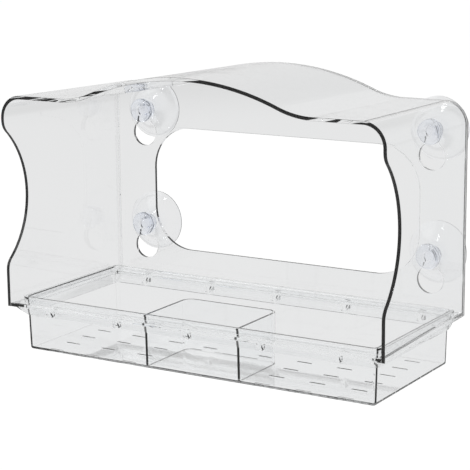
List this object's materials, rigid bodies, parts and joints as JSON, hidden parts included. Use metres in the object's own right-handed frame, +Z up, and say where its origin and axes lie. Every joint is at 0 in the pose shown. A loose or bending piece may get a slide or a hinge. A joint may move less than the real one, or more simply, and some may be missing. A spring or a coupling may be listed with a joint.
{
  "type": "window bird feeder",
  "caption": "Clear plastic bird feeder with a wavy-roofed hood, an open view through its back, a lift-out seed tray and suction cups that hold it on a window.",
  "frame": {"origin": "on the window glass, midway between the axes of the four suction cups", "axes": "+Z up, +Y into the window so that a bird lands from -Y, +X to the right as seen from outside"},
  "size_m": [0.365, 0.178, 0.2484],
  "materials": {
    "hood": "clear, polished",
    "back_panel": "clear, polished",
    "base_frame": "clear, polished",
    "seed_tray": "clear, polished",
    "suction_cup_upper_left": "clear, soft, slightly bluish",
    "suction_cup_upper_right": "clear, soft, slightly bluish",
    "suction_cup_lower_left": "clear, soft, slightly bluish",
    "suction_cup_lower_right": "clear, soft, slightly bluish"
  },
  "bodies": {
    "house": {"hood": "hood", "back_panel": "back_panel", "base_frame": "base_frame"},
    "tray": {"seed_tray": "seed_tray"},
    "suction_cup_upper_left": {"suction_cup_upper_left": "suction_cup_upper_left"},
    "suction_cup_upper_right": {"suction_cup_upper_right": "suction_cup_upper_right"},
    "suction_cup_lower_left": {"suction_cup_lower_left": "suction_cup_lower_left"},
    "suction_cup_lower_right": {"suction_cup_lower_right": "suction_cup_lower_right"}
  },
  "joints": [
    {"name": "tray_lift", "type": "slide", "parent": "house", "child": "tray", "axis": [0, 0, 1], "range_m": [0, 0.045]},
    {"name": "cup_slide_upper_left", "type": "slide", "parent": "house", "child": "suction_cup_upper_left", "axis": [0, 0, 1], "range_m": [-0.0211, 0]},
    {"name": "cup_slide_upper_right", "type": "slide", "parent": "house", "child": "suction_cup_upper_right", "axis": [0, 0, 1], "range_m": [-0.0211, 0]},
    {"name": "cup_slide_lower_left", "type": "slide", "parent": "house", "child": "suction_cup_lower_left", "axis": [0, 0, 1], "range_m": [-0.0211, 0]},
    {"name": "cup_slide_lower_right", "type": "slide", "parent": "house", "child": "suction_cup_lower_right", "axis": [0, 0, 1], "range_m": [-0.0211, 0]}
  ]
}
